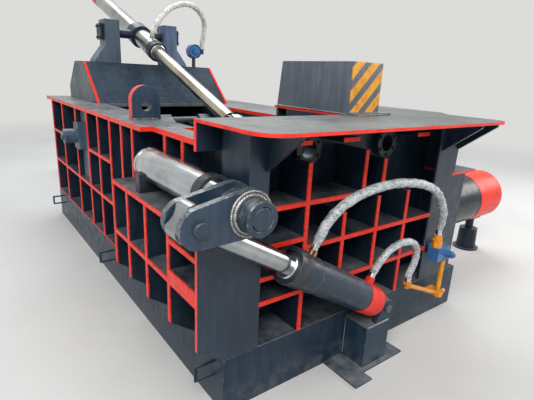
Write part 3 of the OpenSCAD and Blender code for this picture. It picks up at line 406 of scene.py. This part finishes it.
left = CORNER.x
front = CORNER.y
EDGE = 0.007                                  # how deep the red of an edge reaches
TOWER_BAND = 0.024
box_low, box_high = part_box("marker_box")
table_low, table_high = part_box("table")
lug_low, lug_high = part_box("lifting_lug")
tower_low, tower_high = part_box("tower")
strip_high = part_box("turn_bucket")[1]
lid_valve_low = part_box("lid_valve")[0]

MATERIALS = {
    "skid": painted("skid_paint", floor_dirt=True, dust=0.8, wobble=0.004, gloss=0.25,
                    red=[[("x", "<", left + 0.004), ("z", ">", skid_high.z - 0.006)]]),
    "foot": painted("foot_paint", floor_dirt=True, dust=0.8, gloss=0.25),
    "posts": painted("post_paint", red=[[("x", "<", left + EDGE), ("nx", "<", -0.3)],
                                        [("x", ">", left + LEDGE_X), ("z", ">", LEDGE_LOW),
                                         ("z", "<", LEDGE_HIGH), ("az", "<", 0.5)]]),
    "gussets": painted("gusset_paint", red=[[("x", "<", left + 0.004), ("z", ">", SKIRT_TOP_Z)]],
                       wobble=0.0),
    "front_ribs": painted("front_rib_paint", PAINT_DARK, PAINT_DARK_LIGHT, gloss=0.3,
                          red=[[("y", "<", front + EDGE)],
                               [("y", "<", front + LIP_Y + EDGE), ("ny", "<", -0.5), ("z", ">", LIP_Z)]],
                          wear=0.3),
    "left_ribs": painted("left_rib_paint", PAINT_DARK, PAINT_DARK_LIGHT, gloss=0.3, red=[[("x", "<", left + EDGE)]],
                         wear=0.3),
    "lower_frame": painted("lower_frame_paint", PAINT_DARK, PAINT_DARK_LIGHT, gloss=0.3,
                           red=[[("x", "<", left + LOWER_FRAME_X + EDGE)]], wear=0.3),
    "inner": painted("inner_paint", PAINT_DARK, PAINT_DARK_LIGHT, wear=0.4, gloss=0.3),
    "plain": painted("plain_paint"),
    "top_plate": painted("top_plate_paint", srgb("40474c"), srgb("686c6e"), dust=0.8,
                         red=[[("az", "<", 0.5)]], wobble=0.0),
    "bucket": painted("bucket_paint", PAINT_DARK, PAINT_DARK_LIGHT, dust=0.8, gloss=0.3,
                      pale=[[("nz", ">", 0.5), ("z", ">", strip_high.z - 0.06)]],
                      red=[[("az", "<", 0.5), ("z", ">", strip_high.z - 0.034)],
                           [("x", "<", left + BUCKET_RIB_X + EDGE)]]),
    "deck": painted("deck_paint", srgb("454b50"), srgb("6d7172"), dust=0.8),
    "tower": painted("tower_paint", srgb("263340"), srgb("35434f"), dust=0.03, rough=0.42, gloss=0.06,
                     red=[[("x", "<", tower_low.x + TOWER_BAND), ("ax", "<", 0.5)],
                          [("x", ">", tower_high.x - TOWER_BAND), ("ax", "<", 0.5)]],
                     wobble=0.006, pale=[[("x", "<", tower_low.x + 0.002), ("ax", ">", 0.5)]]),
    "lug": painted("lug_paint", srgb("213142"), srgb("32465a"), wobble=0.03,
                   red=[[("ay", "<", 0.5), ("x", "<", lug_low.x + 0.13)]],
                   bore=(left + LUG_BORE[0], LUG_BORE[1], LUG_BORE[2])),
    "crank": painted("crank_paint", srgb("1d2e3f"), srgb("2e4052"), wear=1.0,
                     bare=[[("ay", "<", 0.6), ("nz", ">", -0.2)]]),
    "stripes": painted("striped_paint", srgb("4d5661"), srgb("6a7079"), wear=0.9,
                       stripes=(box_low.x + 0.03, table_high.z, box_low.y + 0.075)),
    "barrel": painted("barrel_paint", rough=0.3, wear=0.5),
    "bare_barrel": metal("bare_barrel_steel", srgb("8e9292"), srgb("b9bbb6"), 0.24, stretch=(5, 0.5, 0.5), scale=6,
                         bump=0.03, stain=srgb("7d7b74")),
    "side_barrel": painted("side_barrel_paint", srgb("172028"), srgb("27323b"), rough=0.22, wear=0.4, dust=0.12,
                           gloss=0.3),
    "channel": painted("channel_paint", srgb("3b4b5a"), srgb("53677a"), wear=0.8),
    "blue_steel": painted("primer_paint", srgb("43546f"), srgb("66779a"), rough=0.5),
    "upright": painted("upright_paint", srgb("3f4e5c"), srgb("566675"), dust=0.7),
    "table": metal("table_plate", srgb("525656"), srgb("7f8381"), 0.5, stretch=(1, 14, 1), scale=7, metallic=0.35,
                   stain=srgb("4d4b47"), red=[[("az", "<", 0.5)]]),
    "floor_plate": metal("floor_plate", srgb("5d5f5f"), srgb("85827c"), 0.45, metallic=0.7, stain=srgb("4c3f36")),
    "turned": metal("turned_steel", srgb("b4babe"), srgb("dadede"), 0.2, stretch=(5, 0.4, 5), scale=6,
                    bump=0.02, stain=srgb("a09b94")),
    "bolted": metal("flange_steel", srgb("20262c"), srgb("39424b"), 0.4, metallic=0.3),
    "pin": metal("pin_steel", srgb("4a5157"), srgb("6f767b"), 0.35, metallic=0.6),
    "chrome": chrome("rod_chrome", srgb("9ba0a3"), srgb("c2c5c6")),
    # The lid rod's warm beige is a painted reflection of warm surroundings on otherwise neutral chrome.
    "warm_chrome": chrome("lid_rod_chrome", srgb("a39d8f"), srgb("c9c1b0")),
    "black": enamel("gland_black", srgb("1b2127"), srgb("2b333b"), 0.34),
    "red": painted("cap_red", RED, RED_DEEP, wear=0.2, dust=0.12, gloss=0.3),
    "front_blue": enamel("front_valve_blue", srgb("3d6fa6"), srgb("2c5584"), other=srgb("e0901c"),
                         where_other=[[("z", ">", VALVE_CAP_Z)]]),
    "lid_blue": enamel("lid_valve_blue", srgb("2a6cb0"), srgb("1c4f86"), other=srgb("1f262c"),
                       where_other=[[("x", ">", lid_valve_low.x + 2 * DISC_R)],
                                    [("z", "<", LID_VALVE_Z - DISC_R)]]),
    "yellow": enamel("pipe_yellow", srgb("e6951c"), srgb("c97a14"), 0.36),
    "rubber": enamel("hose_rubber", srgb("17191b"), srgb("24272a"), 0.5),
    "weld": metal("weld_metal", srgb("3e464d"), srgb("79828a"), 0.38, scale=160, bump=0.5, metallic=0.45),
    "bright_weld": metal("bright_weld_metal", srgb("6b6e70"), srgb("c4c5c2"), 0.3, scale=160, bump=0.5,
                         metallic=0.8),
    # Hose film colours: the grey is painted shade in the fold troughs over the dark hose, the pale a painted highlight
    # on the crests.
    "film": crumpled_film("hose_film", srgb("6c7378"), srgb("ced2d3")),
    "warm_film": crumpled_film("lid_hose_film", srgb("8f8d84"), srgb("e6e4da")),
}

NODE_LOOKS = {
    "skid": ["skid_frame"],
    "foot": ["foot_bracket", "lifting_loops"],
    "posts": ["front_posts"],
    "front_ribs": ["front_ribs"],
    "left_ribs": ["left_upper_ribs"],
    "lower_frame": ["left_lower_frame"],
    "inner": ["front_wall", "left_wall", "right_wall", "rear_wall", "right_ribs", "cross_beam",
              "jack_stands", "trunnion_keepers"],
    "channel": ["side_boss"],
    "gussets": ["table_gussets"],
    "plain": ["lid", "main_platen", "side_platen"],
    "upright": ["upright_left"],
    "top_plate": ["left_top_plate", "right_top_plate"],
    "deck": ["rear_deck"],
    "bucket": ["turn_bucket"],
    "tower": ["tower"],
    "lug": ["lifting_lug"],
    "crank": ["turn_crank"],
    "stripes": ["marker_box"],
    "barrel": ["lid_trunnion", "main_barrel", "turn_barrel"],
    "bare_barrel": ["lid_barrel"],
    "side_barrel": ["side_barrel"],
    "blue_steel": ["upright_right"],
    "table": ["table"],
    "floor_plate": ["chamber_floor"],
    "turned": ["turn_tube"],
    "bolted": ["guide_flanges"],
    "pin": ["lid_clevis_pin", "lid_hinge_pin", "foot_pin", "crank_pin"],
    "chrome": ["main_rod", "side_rod", "turn_rod"],
    "warm_chrome": ["lid_rod"],
    "black": ["lid_gland", "turn_gland", "turn_bearings"],
    "red": ["lid_cap", "main_cap", "side_cap", "turn_cap"],
    "front_blue": ["front_valve"],
    "lid_blue": ["lid_valve"],
    "yellow": ["yellow_pipes"],
    "rubber": ["hose_high", "hose_low", "lid_hose"],
}


def dress_nodes():
    """Gives every node of the frame its look."""
    for look, names in NODE_LOOKS.items():
        for name in names:
            mesh = nodes[name].data
            mesh.materials.clear()
            mesh.materials.append(MATERIALS[look])


# Mesh helpers

def add_mesh(name, points, faces, look):
    """A piece from places and faces, with its look and material slot."""
    mesh = bpy.data.meshes.new(name)
    mesh.from_pydata([tuple(p) for p in points], [], faces)
    mesh.validate()
    for face in mesh.polygons:
        face.use_smooth = True
    mesh.materials.append(MATERIALS[look])
    piece = bpy.data.objects.new(name, mesh)
    bpy.context.scene.collection.objects.link(piece)
    return piece


def side_axes(axis):
    """Two directions square to an axis and to each other."""
    axis = Vector(axis).normalized()
    helper = Vector((0, 0, 1)) if abs(axis.z) < 0.9 else Vector((1, 0, 0))
    u = axis.cross(helper).normalized()
    return axis, u, axis.cross(u)


def lathe(name, place, axis, profile, look, body, sides=64):
    """A turned piece: profile lists (distance along the axis, radius) from one end to the other."""
    axis, u, v = side_axes(axis)
    points = []
    for along, radius in profile:
        for k in range(sides):
            angle = math.tau * k / sides
            points.append(place + axis * along + (u * math.cos(angle) + v * math.sin(angle)) * radius)
    faces = []
    for i in range(len(profile) - 1):
        for k in range(sides):
            q = (k + 1) % sides
            faces.append((i * sides + k, i * sides + q, (i + 1) * sides + q, (i + 1) * sides + k))
    faces.append(tuple(range(sides))[::-1])
    last = (len(profile) - 1) * sides
    faces.append(tuple(range(last, last + sides)))
    piece = add_mesh(name, points, faces, look)
    mesh = piece.data
    bm = bmesh.new()
    bm.from_mesh(mesh)
    bmesh.ops.recalc_face_normals(bm, faces=bm.faces)
    sharp = math.radians(32)
    for edge in bm.edges:
        if len(edge.link_faces) == 2 and edge.calc_face_angle(0) > sharp:
            edge.smooth = False
    bm.to_mesh(mesh)
    bm.free()
    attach(piece, body)
    return piece


def weld_bead(name, path, width, body, look="weld", seed=1):
    """A stacked-coin weld: overlapping flattened scallops along a path of places."""
    rng = random.Random(seed)
    step = width * 0.55
    spots = []
    for a, b in zip(path, path[1:]):
        length = (b - a).length
        count = max(1, round(length / step))
        for i in range(count):
            spots.append((a + (b - a) * (i / count), (b - a).normalized()))
    points = []
    faces = []
    rings = 3
    sides = 8
    for place, along in spots:
        _, u, v = side_axes(along)
        r = width * 0.5 * rng.uniform(0.85, 1.15)
        start = len(points)
        for j in range(rings):
            t = -0.9 + 1.8 * j / (rings - 1)
            girth = math.sqrt(max(0.05, 1 - t * t))
            for k in range(sides):
                angle = math.tau * k / sides
                points.append(place + along * (t * r * 0.62) + (u * math.cos(angle) + v * math.sin(angle)) * r * girth)
        for j in range(rings - 1):
            for k in range(sides):
                q = (k + 1) % sides
                faces.append((start + j * sides + k, start + j * sides + q,
                              start + (j + 1) * sides + q, start + (j + 1) * sides + k))
        faces.append(tuple(start + k for k in range(sides))[::-1])
        faces.append(tuple(start + (rings - 1) * sides + k for k in range(sides)))
    piece = add_mesh(name, points, faces, look)
    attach(piece, body)
    return piece


def arc(centre, axis, radius, start, end, count=40):
    """Places along an arc around an axis, from start to end in degrees."""
    axis, u, v = side_axes(axis)
    angles = [math.radians(start + (end - start) * i / count) for i in range(count + 1)]
    return [centre + (u * math.cos(a) + v * math.sin(a)) * radius for a in angles]


# Hoses

def smooth_path(route, step=0.006):
    """Catmull-Rom curve through a route given in millimetres from the corner, as close places."""
    stops = [at(x / 1000, y / 1000, z / 1000) for x, y, z in route]
    stops = [stops[0] * 2 - stops[1]] + stops + [stops[-1] * 2 - stops[-2]]
    path = []
    for i in range(1, len(stops) - 2):
        a, b, c, d = stops[i - 1:i + 3]
        count = max(2, round((c - b).length / step))
        for j in range(count):
            t = j / count
            path.append(0.5 * ((2 * b) + (c - a) * t + (2 * a - 5 * b + 4 * c - d) * t * t
                               + (3 * b - a - 3 * c + d) * t * t * t))
    path.append(stops[-2])
    return path


def wrapped_hose(name, route, radius, look, cad_node, seed):
    """A hose in crumpled film: a tube whose skin is pushed in and out by ridged noise."""
    path = smooth_path(route)
    sides = 28
    shift = Vector((seed * 7.3, seed * 3.1, 0))
    points = []
    u = Vector((0.31, 0.23, 0.92))
    for i, place in enumerate(path):
        along = (path[min(i + 1, len(path) - 1)] - path[max(i - 1, 0)]).normalized()
        u = (u - along * u.dot(along)).normalized()
        v = along.cross(u)
        run = i / (len(path) - 1)
        taper = min(1.0, 0.62 + 9 * min(run, 1 - run))
        for k in range(sides):
            angle = math.tau * k / sides
            out = u * math.cos(angle) + v * math.sin(angle)
            spot = place + out * radius
            coarse = noise.noise(spot * 26 + shift)
            ridges = 1 - abs(noise.noise(spot * 62 + shift * 2)) * 2
            fine = noise.noise(spot * 130 + shift * 3)
            r = radius * taper * (0.93 + 0.13 * coarse + 0.10 * (ridges - 0.55) + 0.03 * fine)
            points.append(place + out * r)
    faces = []
    for i in range(len(path) - 1):
        for k in range(sides):
            q = (k + 1) % sides
            faces.append((i * sides + k, i * sides + q, (i + 1) * sides + q, (i + 1) * sides + k))
    faces.append(tuple(range(sides))[::-1])
    last = (len(path) - 1) * sides
    faces.append(tuple(range(last, last + sides)))
    piece = add_mesh(name, points, faces, look)
    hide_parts(cad_node)
    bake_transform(piece)
    return piece


def make_hoses():
    """The three wrapped hoses, each blended from its cylinder to the frame."""
    wrapped_hose("wrapped_hose_high", HOSE_HIGH, 0.026, "film", "hose_high", 1)
    wrapped_hose("wrapped_hose_low", HOSE_LOW, 0.022, "film", "hose_low", 2)
    wrapped_hose("wrapped_lid_hose", LID_HOSE, 0.029, "warm_film", "lid_hose", 3)


# Turned details

def hub_details():
    """Rings, pin head and welds on the crank."""
    hub_front = at(0, HUB_FRONT_Y, SHAFT_Z)
    forward = (0, -1, 0)
    lathe("crank_hub_ring", hub_front, forward,
          [(-0.034, 0.0706), (-0.032, 0.0725), (0.003, 0.0725), (0.008, 0.069), (0.008, 0.050), (0.004, 0.0485),
           (0.004, 0.046), (0.009, 0.0445), (0.010, 0.0)], "crank", "turn_out", 96)
    pin_head = at(CRANK_PIN.x, CRANK_FACE_Y - 0.014, CRANK_PIN.z)
    lathe("crank_pin_head", pin_head, forward,
          [(-0.001, 0.0295), (0.001, 0.0305), (0.003, 0.0295), (0.004, 0.0275), (0.004, 0.0)],
          "crank", "turn_out", 64)
    weld_bead("crank_hub_weld", arc(at(0, CRANK_FACE_Y - 0.003, SHAFT_Z), forward, 0.076, 0, 360, 80),
              0.022, "turn_out", "bright_weld", seed=2)
    weld_bead("crank_hub_weld_outer", arc(at(0, CRANK_FACE_Y - 0.001, SHAFT_Z), forward, 0.091, 0, 360, 90),
              0.016, "turn_out", "bright_weld", seed=3)
    weld_bead("tube_rear_weld", arc(at(0, TURN_PLANE_Y + 0.083 + 0.004, SHAFT_Z), forward, 0.087, 0, 360, 80),
              0.012, "turn_out", "bright_weld", seed=4)


def cylinder_details():
    """Wiper rings and joint grooves on both swinging cylinders."""
    crank_pin = at(CRANK_PIN.x, TURN_PLANE_Y, CRANK_PIN.z)
    foot = at(*TURN_FOOT)
    along = (foot - crank_pin).normalized()
    gland = crank_pin + along * TURN_GLAND_RUN
    lid_pin = at(*LID_PIN)
    trunnion = at(*TRUNNION)
    lid_along = (trunnion - lid_pin).normalized()
    lid_gland = trunnion - lid_along * LID_GLAND_RUN
    for name, place, direction, body, rod in (
        ("turn_wiper", gland, along, "turn_cylinder", 0.048),
        ("lid_wiper", lid_gland, lid_along, "lid_cylinder", 0.055),
    ):
        bore = rod + 0.0005
        lathe(name, place, direction, [(-0.012, bore), (-0.012, rod + 0.014), (-0.008, rod + 0.020),
                                       (0.001, rod + 0.022), (0.001, bore)], "turned", body, 72)
        lathe(name + "_collar", place, direction,
              [(0.0005, 0.0922), (0.006, 0.0935), (0.060, 0.0935), (0.064, 0.0915), (0.068, 0.0915),
               (0.071, 0.0935), (0.088, 0.0930), (0.091, 0.0890), (0.092, 0.0885)], "black", body, 96)
        weld_bead(name + "_seam", arc(place + direction * 0.17, direction, BARREL_R + 0.0005, 0, 360, 90),
                  0.004, body, "weld", seed=5)


def fittings():
    """Ferrules and nuts where the hoses meet the ports."""
    ports = (
        ("port_high", HOSE_HIGH[0], HOSE_HIGH[1], "turn_cylinder", "yellow"),
        ("port_low", HOSE_LOW[0], HOSE_LOW[1], "turn_cylinder", "red"),
        ("port_lid", LID_HOSE[0], LID_HOSE[1], "lid_cylinder", "black"),
        ("valve_high", HOSE_HIGH[-1], HOSE_HIGH[-2], "frame", "yellow"),
        ("pipe_low", HOSE_LOW[-1], HOSE_LOW[-2], "frame", "yellow"),
        ("valve_lid", LID_HOSE[-1], LID_HOSE[-2], "frame", "turned"),
    )
    for name, near, far, body, look in ports:
        place = at(*(v / 1000 for v in near))
        toward = (at(*(v / 1000 for v in far)) - place).normalized()
        lathe(name + "_nut", place - toward * 0.004, toward,
              [(-0.022, 0.018), (-0.022, 0.0262), (-0.003, 0.0262), (0.0, 0.0235), (0.0, 0.018)],
              look, body, 6)
        lathe(name + "_ferrule", place, toward,
              [(-0.004, 0.014), (-0.004, 0.0185), (0.010, 0.0195), (0.012, 0.0175), (0.016, 0.0175),
               (0.018, 0.0195), (0.036, 0.019), (0.038, 0.014)], "turned", body, 40)


def valve_details():
    """Dark ring on the lid valve's face, and a yellow nut on the front valve's cap."""
    face = Vector((lid_valve_low.x + DISC_R - 0.002, lid_valve_low.y + 0.016, LID_VALVE_Z))
    lathe("lid_valve_ring", face, (0, -1, 0),
          [(-0.004, 0.066), (0.000, 0.0755), (0.006, 0.0755), (0.009, 0.073), (0.009, 0.069), (0.004, 0.066),
           (-0.004, 0.066)], "black", "frame", 64)
    neck = at(*VALVE_NECK)
    lathe("front_valve_ring", neck, (0, 0, 1),
          [(0.0, 0.0272), (0.0, 0.0335), (0.004, 0.0345), (0.012, 0.0345), (0.016, 0.0335), (0.016, 0.0272)],
          "yellow", "frame", 6)


# Welds along the frame's seams

def frame_welds():
    """Welds that show along the frame's seams: name, path, width, look and seed."""
    lug_y, lug_foot = lug_low.y + 0.008, lug_low.z + 0.004
    foot_top, foot_y = 0.268, -0.163
    post_y, sill_z = 0.004, 0.303
    table_z = table_high.z
    tower_x, tower_z = tower_low.x - 0.002, tower_low.z + 0.003
    welds = (
        ("lug_weld", [Vector((lug_low.x + 0.01, lug_y, lug_foot)),
                      Vector((lug_high.x - 0.01, lug_y, lug_foot))], 0.022, "bright_weld", 6),
        ("foot_box_weld", [at(0.842, foot_y, foot_top), at(1.018, foot_y, foot_top)], 0.014, "bright_weld", 7),
        ("foot_box_seam", [at(0.830, -0.006, 0.02), at(0.830, -0.006, 0.26)], 0.010, "weld", 8),
        ("post_seam_left", [at(0.192, post_y, 0.304), at(0.192, post_y, 0.93)], 0.007, "weld", 9),
        ("post_seam_right", [at(1.558, post_y, 0.304), at(1.558, post_y, 1.37)], 0.007, "weld", 10),
        ("sill_seam", [at(0.192, 0.003, sill_z), at(1.555, 0.003, sill_z)], 0.006, "weld", 11),
        ("box_weld_side", [Vector((box_low.x + 0.028, box_low.y + 0.085, table_z + 0.003)),
                           Vector((box_low.x + 0.028, box_high.y - 0.01, table_z + 0.003))],
         0.010, "bright_weld", 12),
        ("box_weld_front", [Vector((box_low.x + 0.03, box_low.y + 0.001, table_z + 0.004)),
                            Vector((box_high.x - 0.03, box_low.y + 0.001, table_z + 0.004))],
         0.009, "bright_weld", 13),
        ("ledge_weld", [at(0.06, 0.24, 0.953), at(0.10, 0.55, 0.953), at(0.098, 0.95, 0.953)], 0.012, "weld", 14),
        ("bay_corner_weld", [at(0.120, 0.224, 1.0), at(0.120, 0.224, 1.23)], 0.010, "weld", 18),
        ("tower_weld", [Vector((tower_x, tower_low.y + 0.02, tower_z)),
                        Vector((tower_x, tower_high.y - 0.02, tower_z))], 0.012, "weld", 15),
        ("channel_weld_0", [at(0.064, 2.24, 0.66), at(0.064, 2.24, 1.24)], 0.010, "bright_weld", 16),
        ("channel_weld_1", [at(0.064, 2.52, 0.66), at(0.064, 2.52, 1.24)], 0.010, "bright_weld", 17),
    )
    for name, path, width, look, seed in welds:
        weld_bead(name, path, width, "frame", look, seed=seed)


# Stage and light

def make_stage():
    """Plain pale floor that fades into the background."""
    floor = bpy.data.meshes.new("studio_floor")
    size = 40
    floor.from_pydata([(-size, -size, 0), (size, -size, 0), (size, size, 0), (-size, size, 0)], [],
                      [(0, 1, 2, 3)])
    ground = bpy.data.objects.new("studio_floor", floor)
    bpy.context.scene.collection.objects.link(ground)
    s = Shader("studio_floor")
    s.feed(s.mix(s.ramp(s.noise(0.6, 4), 0.3, 0.7), srgb("c9c8c5"), srgb("d3d2cf")), s.bsdf.inputs["Base Color"])
    s.feed(s.ramp(s.noise(9, 4), 0.3, 0.7, 0.7, 0.85), s.bsdf.inputs["Roughness"])
    # Far from the object the floor takes the background's colour, so no horizon shows.
    square = s.maths("ADD", s.maths("MULTIPLY", s.place["x"], s.place["x"]),
                     s.maths("MULTIPLY", s.place["y"], s.place["y"]))
    far = s.ramp(s.maths("SQRT", square), 3.5, 12.0)
    path = s.node("ShaderNodeLightPath")
    seen = s.maths("MAXIMUM", path.outputs["Is Camera Ray"],
                   s.maths("MAXIMUM", path.outputs["Is Glossy Ray"], path.outputs["Is Transmission Ray"]))
    glow = s.node("ShaderNodeEmission")
    s.feed(BACKGROUND, glow.inputs["Color"])
    blend = s.node("ShaderNodeMixShader")
    s.feed(s.maths("MULTIPLY", far, seen), blend.inputs[0])
    s.feed(s.bsdf.outputs[0], blend.inputs[1])
    s.feed(glow.outputs[0], blend.inputs[2])
    s.feed(blend.outputs[0], s.tree.nodes["Material Output"].inputs["Surface"])
    floor.materials.append(s.material)


def make_world():
    """Soft sky light, with the plain background where the sky itself is seen."""
    world = bpy.data.worlds.new("studio")
    bpy.context.scene.world = world
    world.use_nodes = True
    tree = world.node_tree
    tree.nodes.clear()
    out = tree.nodes.new("ShaderNodeOutputWorld")
    light = tree.nodes.new("ShaderNodeBackground")
    light.inputs["Color"].default_value = (0.80, 0.86, 0.95, 1)
    light.inputs["Strength"].default_value = 0.55
    seen = tree.nodes.new("ShaderNodeBackground")
    seen.inputs["Color"].default_value = BACKGROUND
    seen.inputs["Strength"].default_value = 1.0
    path = tree.nodes.new("ShaderNodeLightPath")
    either = tree.nodes.new("ShaderNodeMath")
    either.operation = "MAXIMUM"
    glossy = tree.nodes.new("ShaderNodeMath")
    glossy.operation = "MAXIMUM"
    blend = tree.nodes.new("ShaderNodeMixShader")
    tree.links.new(path.outputs["Is Camera Ray"], either.inputs[0])
    tree.links.new(path.outputs["Is Transmission Ray"], either.inputs[1])
    tree.links.new(either.outputs[0], glossy.inputs[0])
    tree.links.new(path.outputs["Is Glossy Ray"], glossy.inputs[1])
    tree.links.new(glossy.outputs[0], blend.inputs[0])
    tree.links.new(light.outputs[0], blend.inputs[1])
    tree.links.new(seen.outputs[0], blend.inputs[2])
    tree.links.new(blend.outputs[0], out.inputs[0])


def area_light(name, place, aim, size, watts, colour=(1, 1, 1)):
    data = bpy.data.lights.new(name, "AREA")
    data.shape = "RECTANGLE"
    data.size, data.size_y = size
    data.energy = watts
    data.color = colour
    lamp = bpy.data.objects.new(name, data)
    direction = Vector(aim) - Vector(place)
    lamp.matrix_world = Matrix.Translation(place) @ direction.to_track_quat("-Z", "Y").to_matrix().to_4x4()
    bpy.context.scene.collection.objects.link(lamp)


def make_lights():
    """Soft lamps, each with its place, what it aims at, its size, watts and colour."""
    area_light("key", (-4.5, -5.5, 6.5), (0, 0, 0.8), (5, 4), 585, (1.0, 0.98, 0.95))
    area_light("overhead", (1.5, 3.0, 7.0), (0, 0, 0.8), (7, 5), 430, (0.95, 0.98, 1.0))
    area_light("right_fill", (6.5, -3.5, 3.5), (0.6, -0.6, 0.8), (4, 3), 185, (1.0, 0.97, 0.93))


make_camera()
dress_nodes()
make_hoses()
hub_details()
cylinder_details()
fittings()
valve_details()
frame_welds()
make_stage()
make_world()
make_lights()
bpy.context.scene.view_settings.view_transform = "Standard"
